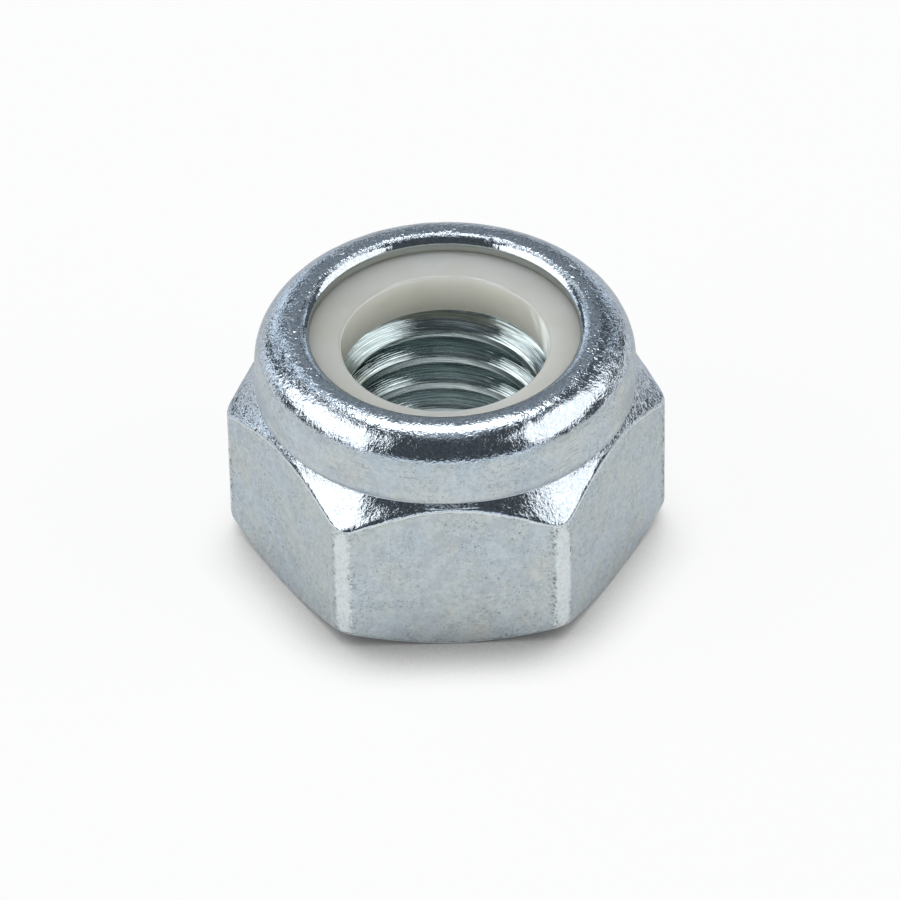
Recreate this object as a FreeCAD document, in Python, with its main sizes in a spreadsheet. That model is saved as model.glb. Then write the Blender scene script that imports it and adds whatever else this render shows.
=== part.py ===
import FreeCAD, Part
import math
import os

import Sketcher

# Nylon insert lock nut, M10 with a 1.5 mm pitch, tall pattern, 17 mm across flats.
# The origin is the middle of the bearing face, +Z is the thread axis towards the nylon end,
# and one hexagon flat faces -Y. Lengths are in millimetres and angles in degrees.

SIZES = {
    # Hexagon: the land is the narrow strip that is left on each corner.
    "across_flats": 17.0,
    "corner_land": 0.57,
    "nut_height": 11.1,
    "face_setback": 0.06,
    "face_chamfer_angle": 30.0,
    # Shoulder: the cone that ends the hexagon runs in a hollow blend up into the collar.
    "shoulder_height": 7.62,
    "shoulder_angle": 40.0,
    "shoulder_blend": 0.8,
    # Collar, and the rim that is rolled inwards over the ring: from the crest it turns down
    # over a nose and a bevel to an upright lip face, and its underside is a cone.
    "collar_setback": 0.14,
    "collar_wall": 1.16,
    "lip_overhang": 1.26,
    "lip_nose": 0.6,
    "lip_nose_turn": 45.0,
    "lip_bevel": 0.12,
    "lip_face": 0.38,
    "lip_underside_angle": 45.0,
    # Thread bore, drawn at the minor diameter, with its two countersinks and the ring's seat.
    "bore_diameter": 8.376,
    "face_countersink": 1.21,
    "face_countersink_angle": 30.0,
    "seat_height": 8.05,
    "seat_countersink": 0.85,
    "seat_countersink_angle": 45.0,
    # Nylon ring: its top dips towards the bore, and its bore bites on the bolt's thread.
    "ring_bore_diameter": 9.1,
    "ring_clearance": 0.02,
    "ring_dish_angle": 16.0,
    "ring_edge_round": 0.3,
    "ring_foot_chamfer": 0.15,
}

# Radii from the axis and heights above the bearing face that follow from the sizes.
CORNER_RADIUS = "(sizes.across_flats - sizes.corner_land / 2) / sqrt(3)"
FACE_RADIUS = "sizes.across_flats / 2 - sizes.face_setback"
COLLAR_RADIUS = "sizes.across_flats / 2 - sizes.collar_setback"
POCKET_RADIUS = COLLAR_RADIUS + " - sizes.collar_wall"
LIP_RADIUS = POCKET_RADIUS + " - sizes.lip_overhang"
NOSE_REACH = "sizes.lip_nose * sin(sizes.lip_nose_turn)"
NOSE_DROP = "sizes.lip_nose * (1 - cos(sizes.lip_nose_turn))"
BEVEL_DROP = "sizes.lip_bevel * tan(sizes.lip_nose_turn)"
LIP_FACE_TOP = f"sizes.nut_height - {NOSE_DROP} - {BEVEL_DROP}"
LIP_UNDERSIDE = LIP_FACE_TOP + " - sizes.lip_face"
POCKET_TOP = LIP_UNDERSIDE + " - sizes.lip_overhang * tan(sizes.lip_underside_angle)"
BORE_RADIUS = "sizes.bore_diameter / 2"
FACE_COUNTERSINK_RADIUS = BORE_RADIUS + " + sizes.face_countersink"
SEAT_COUNTERSINK_RADIUS = BORE_RADIUS + " + sizes.seat_countersink"
RING_RADIUS = POCKET_RADIUS + " - sizes.ring_clearance"
RING_TOP = LIP_UNDERSIDE + " - sizes.ring_clearance"
RING_BORE_RADIUS = "sizes.ring_bore_diameter / 2"

# Sketcher's numbers for a point of an edge, and for the sketch's own origin and axes.
START = 1
END = 2
CENTRE = 3
ROOT_POINT = (-1, START)
X_AXIS = -1
FULL_TURN = 360.0
SIDES = 6

doc = FreeCAD.newDocument("nylon_insert_lock_nut")


def make_sheet():
    """Put every driving size on a sheet, each under its own alias."""
    sheet = doc.addObject("Spreadsheet::Sheet", "sizes")
    for row, (alias, number) in enumerate(SIZES.items(), start=1):
        sheet.set(f"A{row}", alias)
        sheet.set(f"B{row}", str(number))
        sheet.setAlias(f"B{row}", alias)
    doc.recompute()
    return sheet


sheet = make_sheet()


def value(expression):
    """Work out an expression on the sheet, as a plain number."""
    return float(sheet.evalExpression(expression))


def origin_plane(body, role):
    """Find one of the body's own origin planes by its role."""
    for feature in body.Origin.OriginFeatures:
        if feature.Role == role:
            return feature
    raise ValueError(f"{body.Label} has no origin plane {role}")


class Outline:
    """A sketch on one of a body's origin planes, drawn edge by edge and tied to the sheet."""

    def __init__(self, body, name, role):
        self.sketch = body.newObject("Sketcher::SketchObject", name)
        self.sketch.AttachmentSupport = [(origin_plane(body, role), "")]
        self.sketch.MapMode = "FlatFace"

    def line(self, start, end):
        """Draw a straight edge between two guessed points."""
        edge = Part.LineSegment(FreeCAD.Vector(*start, 0), FreeCAD.Vector(*end, 0))
        return self.sketch.addGeometry(edge)

    def arc(self, centre, radius, from_angle, to_angle):
        """Draw a guessed arc, counter-clockwise between two angles."""
        circle = Part.Circle(FreeCAD.Vector(*centre, 0), FreeCAD.Vector(0, 0, 1), radius)
        edge = Part.ArcOfCircle(circle, math.radians(from_angle), math.radians(to_angle))
        return self.sketch.addGeometry(edge)

    def circle(self, radius):
        """Draw a guessed circle about the sketch's origin."""
        circle = Part.Circle(FreeCAD.Vector(0, 0, 0), FreeCAD.Vector(0, 0, 1), radius)
        edge = self.sketch.addGeometry(circle)
        self.tie("Coincident", edge, CENTRE, *ROOT_POINT)
        return edge

    def point(self, place):
        """Mark a guessed point that other edges are measured to."""
        return self.sketch.addGeometry(Part.Point(FreeCAD.Vector(*place, 0)), True)

    def tie(self, kind, *members):
        """Add a constraint that holds no size."""
        return self.sketch.addConstraint(Sketcher.Constraint(kind, *members))

    def size(self, kind, *members, to):
        """Add a constraint whose size is an expression on the sheet."""
        number = value(to)
        if kind == "Angle":
            number = math.radians(number)
        index = self.sketch.addConstraint(Sketcher.Constraint(kind, *members, number))
        self.sketch.setExpression(f"Constraints[{index}]", to)
        return index

    def at_radius(self, edge, end, to):
        """Hold a point at its distance from the axis."""
        return self.size("DistanceX", *ROOT_POINT, edge, end, to=to)

    def at_height(self, edge, end, to):
        """Hold a point at its height above the bearing face."""
        return self.size("DistanceY", *ROOT_POINT, edge, end, to=to)

    def check(self):
        """Stop unless the sheet settles every point of the sketch."""
        doc.recompute()
        if not self.sketch.FullyConstrained:
            raise ValueError(f"{self.sketch.Name} is not fully constrained")
        return self.sketch


def new_body(name):
    """Start a body whose label names its file."""
    body = doc.addObject("PartDesign::Body", name)
    body.Label = name
    return body


def revolve(body, outline, name):
    """Turn a checked outline about the thread axis."""
    feature = body.newObject("PartDesign::Revolution", name)
    feature.Profile = outline.check()
    feature.ReferenceAxis = (feature.Profile[0], ["V_Axis"])
    feature.Angle = FULL_TURN
    doc.recompute()
    return feature


def nut_outline(body):
    """Half section of the nut: radius across, height up, before the flats are cut."""
    outline = Outline(body, "nut_section", "XZ_Plane")
    corner = value(CORNER_RADIUS)
    collar = value(COLLAR_RADIUS)
    pocket = value(POCKET_RADIUS)
    lip = value(LIP_RADIUS)
    bore = value(BORE_RADIUS)
    face = value(FACE_RADIUS)
    top = value("sizes.nut_height")
    seat = value("sizes.seat_height")
    shoulder = value("sizes.shoulder_height")
    nose = value("sizes.lip_nose")
    nose_turn = value("sizes.lip_nose_turn")
    nose_end = (lip + value("sizes.lip_bevel"), top - value(NOSE_DROP))
    lip_face_top = value(LIP_FACE_TOP)
    underside = value(LIP_UNDERSIDE)
    pocket_top = value(POCKET_TOP)
    face_sink = value("sizes.face_countersink")
    face_sink_depth = face_sink * math.tan(math.radians(value("sizes.face_countersink_angle")))
    seat_sink = value("sizes.seat_countersink")
    seat_sink_depth = seat_sink * math.tan(math.radians(value("sizes.seat_countersink_angle")))
    chamfer_rise = (corner - face) * math.tan(math.radians(value("sizes.face_chamfer_angle")))
    slope = math.radians(value("sizes.shoulder_angle"))
    land_top = shoulder - (corner - collar) * math.tan(slope)
    blend = value("sizes.shoulder_blend")
    tangent = blend * math.tan((math.pi / 2 - slope) / 2)
    crest = nose_end[0] + value(NOSE_REACH)
    bend = collar - crest

    # Bearing face, its chamfer and the corner land, then the shoulder cone.
    bearing_face = outline.line((bore + face_sink, 0), (face, 0))
    face_chamfer = outline.line((face, 0), (corner, chamfer_rise))
    land = outline.line((corner, chamfer_rise), (corner, land_top))
    blend_foot = (collar + tangent * math.cos(slope), shoulder - tangent * math.sin(slope))
    cone = outline.line((corner, land_top), blend_foot)

    # Hollow blend into the collar wall, which bends inwards to the crest and turns over a nose.
    hollow = outline.arc(
        (collar + blend, shoulder + tangent), blend, 180, 270 - math.degrees(slope)
    )
    wall = outline.line((collar, shoulder + tangent), (collar, top - bend))
    rim = outline.arc((crest, top - bend), bend, 0, 90)
    lip_nose = outline.arc((crest, top - nose), nose, 90, 90 + nose_turn)
    lip_bevel = outline.line(nose_end, (lip, lip_face_top))
    lip_face = outline.line((lip, lip_face_top), (lip, underside))

    # Pocket of the ring: the underside of the rim, the pocket wall and the seat.
    rim_underside = outline.line((lip, underside), (pocket, pocket_top))
    pocket_wall = outline.line((pocket, pocket_top), (pocket, seat))
    ring_seat = outline.line((pocket, seat), (bore + seat_sink, seat))

    # Thread bore with a countersink at each end.
    seat_cone = outline.line((bore + seat_sink, seat), (bore, seat - seat_sink_depth))
    bore_wall = outline.line((bore, seat - seat_sink_depth), (bore, face_sink_depth))
    face_cone = outline.line((bore, face_sink_depth), (bore + face_sink, 0))

    outline.tie("Coincident", bearing_face, END, face_chamfer, START)
    outline.tie("Coincident", face_chamfer, END, land, START)
    outline.tie("Coincident", land, END, cone, START)
    outline.tie("Tangent", cone, END, hollow, END)
    outline.tie("Tangent", hollow, START, wall, START)
    outline.tie("Tangent", wall, END, rim, START)
    outline.tie("Tangent", rim, END, lip_nose, START)
    outline.tie("Tangent", lip_nose, END, lip_bevel, START)
    outline.tie("Coincident", lip_bevel, END, lip_face, START)
    outline.tie("Coincident", lip_face, END, rim_underside, START)
    outline.tie("Coincident", rim_underside, END, pocket_wall, START)
    outline.tie("Coincident", pocket_wall, END, ring_seat, START)
    outline.tie("Coincident", ring_seat, END, seat_cone, START)
    outline.tie("Coincident", seat_cone, END, bore_wall, START)
    outline.tie("Coincident", bore_wall, END, face_cone, START)
    outline.tie("Coincident", face_cone, END, bearing_face, START)

    for upright in (land, wall, lip_face, pocket_wall, bore_wall):
        outline.tie("Vertical", upright)
    outline.tie("Horizontal", ring_seat)
    outline.tie("PointOnObject", bearing_face, START, X_AXIS)
    outline.tie("PointOnObject", bearing_face, END, X_AXIS)
    outline.tie("Vertical", lip_nose, START, lip_nose, CENTRE)

    # The cone is aimed at the point where it would meet the collar without the blend.
    aim = outline.point((collar, shoulder))
    outline.tie("PointOnObject", aim, START, cone)
    outline.at_radius(aim, START, to=COLLAR_RADIUS)
    outline.at_height(aim, START, to="sizes.shoulder_height")

    outline.at_radius(bearing_face, START, to=FACE_COUNTERSINK_RADIUS)
    outline.at_radius(bearing_face, END, to=FACE_RADIUS)
    outline.at_radius(land, START, to=CORNER_RADIUS)
    outline.at_radius(wall, START, to=COLLAR_RADIUS)
    outline.at_radius(lip_bevel, START, to=LIP_RADIUS + " + sizes.lip_bevel")
    outline.at_radius(lip_face, END, to=LIP_RADIUS)
    outline.at_radius(pocket_wall, END, to=POCKET_RADIUS)
    outline.at_radius(ring_seat, END, to=SEAT_COUNTERSINK_RADIUS)
    outline.at_radius(bore_wall, START, to=BORE_RADIUS)
    outline.at_height(lip_nose, START, to="sizes.nut_height")
    outline.at_height(lip_face, END, to=LIP_UNDERSIDE)
    outline.at_height(ring_seat, END, to="sizes.seat_height")
    outline.size("Radius", hollow, to="sizes.shoulder_blend")
    outline.size("Radius", lip_nose, to="sizes.lip_nose")
    outline.size("Angle", face_chamfer, to="sizes.face_chamfer_angle")
    outline.size("Angle", cone, to="180 - sizes.shoulder_angle")
    outline.size("Angle", lip_bevel, to="-180 + sizes.lip_nose_turn")
    outline.size("Angle", rim_underside, to="-sizes.lip_underside_angle")
    outline.size("Angle", seat_cone, to="-180 + sizes.seat_countersink_angle")
    outline.size("Angle", face_cone, to="-sizes.face_countersink_angle")
    return outline


def hexagon_outline(body):
    """The wrench hexagon inside a circle that clears the corners: what lies between is cut."""
    outline = Outline(body, "hexagon_section", "XY_Plane")
    flats = value("sizes.across_flats")
    corner = flats / math.sqrt(3)
    turns = [math.tau * step / SIDES for step in range(SIDES)]
    places = [(corner * math.cos(turn), corner * math.sin(turn)) for turn in turns]
    sides = [outline.line(places[step - 1], places[step]) for step in range(SIDES)]
    for step in range(SIDES):
        outline.tie("Coincident", sides[step - 1], END, sides[step], START)
    for side in sides[1:]:
        outline.tie("Equal", sides[0], side)
    guide = outline.circle(corner)
    outline.sketch.setConstruction(guide, True)
    for side in sides:
        outline.tie("PointOnObject", side, START, guide)
    outline.tie("PointOnObject", sides[0], END, X_AXIS)
    outline.size("Radius", guide, to="sizes.across_flats / sqrt(3)")
    outer = outline.circle(flats)
    outline.size("Radius", outer, to="sizes.across_flats")
    return outline


def make_nut_body():
    """Steel nut: a turned blank with the rim rolled over, then the six flats."""
    body = new_body("nut_body")
    blank = revolve(body, nut_outline(body), "turned_blank")
    before = blank.Shape.Volume
    flats = body.newObject("PartDesign::Pocket", "wrench_flats")
    flats.Profile = hexagon_outline(body).check()
    flats.Type = "ThroughAll"
    flats.Reversed = True
    doc.recompute()
    if flats.Shape.Volume >= before:
        raise ValueError("the wrench flats cut nothing")
    return body


def ring_outline(body):
    """Half section of the nylon ring as the rolled rim leaves it."""
    outline = Outline(body, "ring_section", "XZ_Plane")
    outer = value(RING_RADIUS)
    lip = value(LIP_RADIUS)
    bore = value(RING_BORE_RADIUS)
    top = value(RING_TOP)
    shoulder = value(POCKET_TOP)
    seat = value("sizes.seat_height")
    edge_round = value("sizes.ring_edge_round")
    chamfer = value("sizes.ring_foot_chamfer")
    dish = value("sizes.ring_dish_angle")
    slope = math.radians(dish)
    tangent = edge_round * math.tan((math.pi / 2 - slope) / 2)
    rim_height = top - (lip - bore) * math.tan(slope)
    round_start = (bore + tangent * math.cos(slope), rim_height + tangent * math.sin(slope))

    foot = outline.line((bore + chamfer, seat), (outer, seat))
    side = outline.line((outer, seat), (outer, shoulder))
    shoulder_cone = outline.line((outer, shoulder), (lip, top))
    dish_line = outline.line((lip, top), round_start)
    edge_arc = outline.arc((bore + edge_round, rim_height - tangent), edge_round, 90 + dish, 180)
    bore_wall = outline.line((bore, rim_height - tangent), (bore, seat + chamfer))
    foot_chamfer = outline.line((bore, seat + chamfer), (bore + chamfer, seat))

    outline.tie("Coincident", foot, END, side, START)
    outline.tie("Coincident", side, END, shoulder_cone, START)
    outline.tie("Coincident", shoulder_cone, END, dish_line, START)
    outline.tie("Tangent", dish_line, END, edge_arc, START)
    outline.tie("Tangent", edge_arc, END, bore_wall, START)
    outline.tie("Coincident", bore_wall, END, foot_chamfer, START)
    outline.tie("Coincident", foot_chamfer, END, foot, START)

    outline.tie("Vertical", side)
    outline.tie("Vertical", bore_wall)
    outline.tie("Horizontal", foot)

    outline.at_radius(side, START, to=RING_RADIUS)
    outline.at_radius(dish_line, START, to=LIP_RADIUS)
    outline.at_radius(bore_wall, END, to=RING_BORE_RADIUS)
    outline.at_radius(foot, START, to=RING_BORE_RADIUS + " + sizes.ring_foot_chamfer")
    outline.at_height(side, START, to="sizes.seat_height")
    outline.at_height(bore_wall, END, to="sizes.seat_height + sizes.ring_foot_chamfer")
    outline.at_height(dish_line, START, to=RING_TOP)
    outline.size("Radius", edge_arc, to="sizes.ring_edge_round")
    outline.size("Angle", shoulder_cone, to="180 - sizes.lip_underside_angle")
    outline.size("Angle", dish_line, to="-180 + sizes.ring_dish_angle")
    return outline


def make_nylon_ring():
    """Nylon ring: it stands on the seat and fills the pocket under the rolled rim."""
    body = new_body("nylon_ring")
    revolve(body, ring_outline(body), "ring_turned")
    return body


def check_and_write(bodies):
    """Stop on any failed object, then write each body to a file of its own."""
    doc.recompute()
    for item in doc.Objects:
        if {"Invalid", "Error"} & set(item.State):
            raise ValueError(f"{item.Label} is {item.State}")
    for body in bodies:
        if body.Shape.isNull() or not body.Shape.isValid():
            raise ValueError(f"{body.Label} has no valid shape")
    os.makedirs("parts", exist_ok=True)
    for body in bodies:
        body.Shape.exportStep(f"parts/{body.Label}.step")
        print(f"{body.Label}: {len(body.Shape.Solids)} solid, {body.Shape.Volume:.1f} mm3")


check_and_write([make_nut_body(), make_nylon_ring()])
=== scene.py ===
# %% [markdown]
# # A nylon insert lock nut
# The real part is a cold-formed steel hexagon nut, plated with zinc, with a nylon ring shut in
# its round collar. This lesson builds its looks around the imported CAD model. The model comes in
# first and stays where it is, because every piece made here has to sit in the same place.

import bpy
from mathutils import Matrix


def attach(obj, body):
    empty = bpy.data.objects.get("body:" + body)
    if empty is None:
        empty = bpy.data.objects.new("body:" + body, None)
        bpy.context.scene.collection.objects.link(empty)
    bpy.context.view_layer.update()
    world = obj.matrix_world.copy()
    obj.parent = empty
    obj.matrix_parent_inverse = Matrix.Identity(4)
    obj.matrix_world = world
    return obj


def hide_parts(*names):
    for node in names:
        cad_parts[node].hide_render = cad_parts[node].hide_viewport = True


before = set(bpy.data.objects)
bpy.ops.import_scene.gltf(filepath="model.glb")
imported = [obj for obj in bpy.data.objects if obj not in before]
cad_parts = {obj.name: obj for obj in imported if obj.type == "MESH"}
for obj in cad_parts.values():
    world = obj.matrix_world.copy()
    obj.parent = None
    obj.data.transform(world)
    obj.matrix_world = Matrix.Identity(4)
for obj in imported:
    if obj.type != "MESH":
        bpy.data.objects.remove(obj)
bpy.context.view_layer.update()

# %% [markdown]
# The nut is written in millimetres, because that is how a nut is drawn, and turned into
# Blender's metres only where a mesh or a texture needs it. The studio round it is in metres.
# Random draws come from seeded generators, so each run gives the same nut.

# %% Tools and unit
import math

import bmesh
import bpy
import numpy as np
from mathutils import Quaternion, Vector

MM = 0.001

# %% [markdown]
# ## The steel body
# The real body is pressed to shape in dies. A cut through its axis looks nearly the same at
# every angle, and only the radius of the outside changes between flat and corner. A loft follows
# that: one cut is drawn for each angle round the axis, with the same number of points each time,
# and neighbouring cuts are joined by faces. A boolean of a cone and a hexagon would give the same
# solid with sharp edges and long thin faces that catch the light badly.
#
# The angles are not evenly spaced. Each corner of the hexagon is a narrow rounded land, and the
# line between land and flat needs close steps, while the flat itself is happy with wide ones.

# %% Angles round the axis
FLAT, CORNER = 8.5, 9.65
SECTOR = 60
LAND_EDGE = math.degrees(math.acos(FLAT / CORNER))
CLOSE_BEFORE, CLOSE_AFTER = 0.9, 0.7
FLAT_STEPS, CLOSE_STEPS, LAND_STEPS = 22, 8, 3


def sector_angles():
    """Degrees from the middle of a flat, as far as the corner on either side."""
    close_start, close_end = LAND_EDGE - CLOSE_BEFORE, LAND_EDGE + CLOSE_AFTER
    flat = np.linspace(0, close_start, FLAT_STEPS, endpoint=False)
    close = np.linspace(close_start, close_end, CLOSE_STEPS, endpoint=False)
    land = np.linspace(close_end, SECTOR / 2, LAND_STEPS)
    half = np.concatenate([flat, close, land])
    return np.concatenate([-half[1:-1][::-1], half])


sectors = [sector_angles() + SECTOR / 2 + SECTOR * k for k in range(6)]
degrees = np.sort(np.concatenate(sectors) % 360)
from_flat = np.radians(degrees % SECTOR - SECTOR / 2)
angle = np.radians(degrees)
STEPS = len(angle)
print("Cuts round the axis:", STEPS)


# %% [markdown]
# A soft minimum joins two surfaces with a small rounding in place of a knife edge, and a soft
# maximum does the same the other way up. The flat and the land of the hexagon are joined in this
# way, and later the flanks, crests and roots of the thread.

# %% Soft minimum and maximum
def soft_min(a, b, width):
    """The smaller of two values, rounded over where they are closer than the width."""
    share = np.clip(0.5 + 0.5 * (b - a) / width, 0, 1)
    return b * (1 - share) + a * share - width * share * (1 - share)


def soft_max(a, b, width):
    return -soft_min(-a, -b, width)


print("Soft minimum of 1 and 1 over a width of 0.2:", soft_min(1.0, 1.0, 0.2))

# %% [markdown]
# No cold-formed face is perfectly flat. Its unevenness is made here as a sum of a few waves that
# close on themselves round the nut. It is only hundredths of a millimetre deep, which is enough
# to let a reflection waver. A bump in the material could do that too, but then the outline
# would stay as straight as a drawing.

# %% Gentle unevenness and the hexagon's wall
CLIMB_LIMIT = 2.5
WAVE_SPREAD = 2.2
FLAT_DEPTH = 0.014
MID_SOFT = 0.045


def unevenness(seed, waves, low, high):
    """A function of angle and height between about 0 and 1."""
    draw = np.random.default_rng(seed)
    around = draw.integers(low, high, waves)
    upward = draw.uniform(-CLIMB_LIMIT, CLIMB_LIMIT, waves)
    phase = draw.uniform(0, 2 * math.pi, waves)

    def read(turn, height):
        total = sum(np.cos(a * turn + u * height + p) for a, u, p in zip(around, upward, phase))
        return np.clip(0.5 + total / (WAVE_SPREAD * math.sqrt(waves)), 0, 1)

    return read


flat_wave = unevenness(11, 9, 3, 16)
rim_wave = unevenness(23, 14, 8, 60)


def hexagon_radius(softness, height):
    """How far out the wall stands at each angle, with land and flat joined softly."""
    wall = soft_min(FLAT / np.cos(from_flat), np.full(STEPS, CORNER), softness)
    return wall - FLAT_DEPTH * flat_wave(angle, height)


middle = hexagon_radius(MID_SOFT, 3.0)
print("Wall from", round(middle.min(), 3), "to", round(middle.max(), 3), "mm off the axis")

# %% [markdown]
# A cut is a list of rows. Each row has a radius and a height for every angle, and three marks
# for the finish: how much it belongs to the pressed ledge, how near it is to a worn edge, and
# whether it lies on a wall of the hexagon. A point of the cut is a pair of radius and height.
# Straight stretches and rounded corners add their rows through one function each.

# %% Rows of the cut
rows = []
LONGEST_ARM = 0.45


def add_row(radius, height, ledge=0.0, edge=0.0, wall=0.0):
    values = (radius, height, ledge, edge, wall)
    rows.append([np.broadcast_to(np.asarray(v, float), (STEPS,)) for v in values])


def between(start, end, t):
    return start + (end - start) * t


def straight(start, end, count):
    """Rows between two points, without the points themselves."""
    for k in range(1, count + 1):
        t = k / (count + 1)
        add_row(between(start[0], end[0], t), between(start[1], end[1], t))


def rounded(before, corner, after, size, count, ledge=(0, 0), edge=0.0, wall=(0, 0)):
    """A small rounding at a corner, drawn as a curve that leans on the two sides."""
    def arm(point):
        across, up = point[0] - corner[0], point[1] - corner[1]
        length = np.hypot(across, up)
        reach = np.minimum(size, LONGEST_ARM * length) / length
        return corner[0] + across * reach, corner[1] + up * reach

    (ra, za), (rb, zb) = arm(before), arm(after)
    for k in range(count):
        t = k / (count - 1)
        radius = (1 - t) ** 2 * ra + 2 * t * (1 - t) * corner[0] + t * t * rb
        height = (1 - t) ** 2 * za + 2 * t * (1 - t) * corner[1] + t * t * zb
        wear = edge * math.sin(math.pi * t)
        add_row(radius, height, ledge=between(*ledge, t), edge=wear, wall=between(*wall, t))


# %% [markdown]
# The ledge is the sloping top of the hexagon. It is a 40 degree cone, with a slight hollow of
# large radius near the collar, where it ends in a crease. The radius of the hollow follows from
# its two ends: it leaves the cone without a kink and passes through the foot of the collar.

# %% Form of the ledge
LEDGE_ANGLE = math.radians(40)
LEDGE_CORNER_HEIGHT = 6.537
COLLAR_FOOT = (8.30, 7.90)
HOLLOW_START = math.radians(38)
HOLLOW_END = math.pi / 2 - LEDGE_ANGLE

ledge_slope = math.tan(LEDGE_ANGLE)
drop = COLLAR_FOOT[1] - LEDGE_CORNER_HEIGHT - (CORNER - COLLAR_FOOT[0]) * ledge_slope
rise = math.sin(HOLLOW_END) - math.sin(HOLLOW_START)
run = math.cos(HOLLOW_START) - math.cos(HOLLOW_END)
HOLLOW_RADIUS = drop / (rise - run * ledge_slope)
HOLLOW_CENTRE = (
    COLLAR_FOOT[0] + HOLLOW_RADIUS * math.cos(HOLLOW_START),
    COLLAR_FOOT[1] + HOLLOW_RADIUS * math.sin(HOLLOW_START),
)
cone_start = HOLLOW_CENTRE[0] - HOLLOW_RADIUS * math.cos(HOLLOW_END)
print("Hollow radius", round(HOLLOW_RADIUS, 3), "mm, joins the cone at radius", round(cone_start, 3))


def ledge_height(radius):
    """Height of the ledge at a distance from the axis."""
    cone = LEDGE_CORNER_HEIGHT + (CORNER - radius) * ledge_slope
    inside = np.clip(HOLLOW_CENTRE[0] - radius, 0, HOLLOW_RADIUS)
    hollow = HOLLOW_CENTRE[1] - np.sqrt(HOLLOW_RADIUS**2 - inside**2)
    return np.where(radius > cone_start, cone, hollow)


# %% [markdown]
# The wall of the hexagon stands between two curves. Its foot is where the chamfer under the nut
# meets it, and its head is where the ledge does, which draws the arcs that every such nut shows.
# Near both, land and flat blend more softly than in the middle, and the upper arcs waver a
# little.

# %% Foot and head of the wall
FOOT_SOFT, HEAD_SOFT = 0.16, 0.2
FOOT_LEVEL, HEAD_LEVEL = 0.4, 6.8
FACE_EDGE = 8.44
CHAMFER_SLOPE = math.tan(math.radians(30))
ARC_DEPTH = 0.05
arc_wave = unevenness(5, 8, 12, 70)

wall_foot = hexagon_radius(FOOT_SOFT, FOOT_LEVEL)
wall_head = hexagon_radius(HEAD_SOFT, HEAD_LEVEL)
foot = (wall_foot, (wall_foot - FACE_EDGE) * CHAMFER_SLOPE)
head = (wall_head, ledge_height(wall_head) - ARC_DEPTH * arc_wave(angle, 0))
print("Upper arcs from", round(head[1].min(), 2), "to", round(head[1].max(), 2), "mm high")

# %% [markdown]
# The first row lies just inside the countersink under the nut. From there the cut runs out along
# the flat bearing face and up the chamfer.

# %% Bearing face and foot chamfer
MINOR, MAJOR = 4.188, 5.0
END_STEP = 0.03
SINK_RADIUS = 5.398
SINK_SLOPE = math.tan(math.radians(30))
SINK_DEPTH = (SINK_RADIUS - MINOR) * SINK_SLOPE
SINK_ROUND, FACE_ROUND, FOOT_ROUND = 0.05, 0.12, 0.14
FACE_INNER_GAP, FACE_OUTER_GAP = 0.08, 0.16

sink_start = (SINK_RADIUS - END_STEP / SINK_SLOPE, END_STEP)
sink_edge, face_edge = (SINK_RADIUS, 0), (FACE_EDGE, 0)
add_row(*sink_start)
rounded(sink_start, sink_edge, face_edge, SINK_ROUND, 3)
straight((SINK_RADIUS + FACE_INNER_GAP, 0), (FACE_EDGE - FACE_OUTER_GAP, 0), 5)
rounded(sink_edge, face_edge, foot, FACE_ROUND, 4, edge=0.7)
straight(face_edge, foot, 2)
rounded(face_edge, foot, head, FOOT_ROUND, 5, edge=0.8, wall=(0, 1))

# %% [markdown]
# The rows of the wall are closer together at its foot and head than in the middle, because that
# is where its softness and its wear change.

# %% Wall of the hexagon
WALL_ROWS = 14
HEAD_REACH, FOOT_REACH = 0.55, 0.4
HEAD_WEAR, FOOT_WEAR = 0.9, 0.6
WEAR_NARROWS = 4

for k in range(WALL_ROWS):
    t = 0.5 - 0.5 * math.cos(math.pi * (k + 1) / (WALL_ROWS + 1))
    height = foot[1] + FOOT_ROUND + (head[1] - FOOT_ROUND - foot[1] - FOOT_ROUND) * t
    from_head = (head[1] - height) / HEAD_REACH
    from_foot = (height - foot[1]) / FOOT_REACH
    head_softness = (HEAD_SOFT - MID_SOFT) * np.exp(-from_head**2)
    foot_softness = (FOOT_SOFT - MID_SOFT) * np.exp(-from_foot**2)
    head_wear = HEAD_WEAR * np.exp(-(WEAR_NARROWS * from_head) ** 2)
    foot_wear = FOOT_WEAR * np.exp(-(WEAR_NARROWS * from_foot) ** 2)
    softness = MID_SOFT + head_softness + foot_softness
    add_row(hexagon_radius(softness, height), height, edge=head_wear + foot_wear, wall=1)
print("Rows up to the head of the wall:", len(rows))

# %% [markdown]
# The rows of the ledge are spaced along its slope, so that it stays smooth even in the middle of
# a flat, where it is only a sliver. That sliver was pinched hardest between the dies, and it
# gets a mark above 1, so that its finish can be told from the rest.

# %% Rows of the ledge
EDGE_ROUND = 0.15
LEDGE_ROWS = 13
LEDGE_DEPTH = 0.012
PINCH_WIDTH = math.radians(7)
INNER_ARM = 0.4
EDGE_CLEARANCE, SHORTEST_SHARE = 1.25 * EDGE_ROUND, 0.55
CALM_LENGTH, DIP_INWARDS = 0.3, 0.2

hollow_turn = np.arccos(np.clip((HOLLOW_CENTRE[0] - wall_head) / HOLLOW_RADIUS, 0, 1))
hollow_turn = np.minimum(hollow_turn, HOLLOW_END) - HOLLOW_START
cone_length = np.maximum(wall_head - cone_start, 0) / math.cos(LEDGE_ANGLE)
hollow_length = HOLLOW_RADIUS * hollow_turn
ledge_length = cone_length + hollow_length


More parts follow.
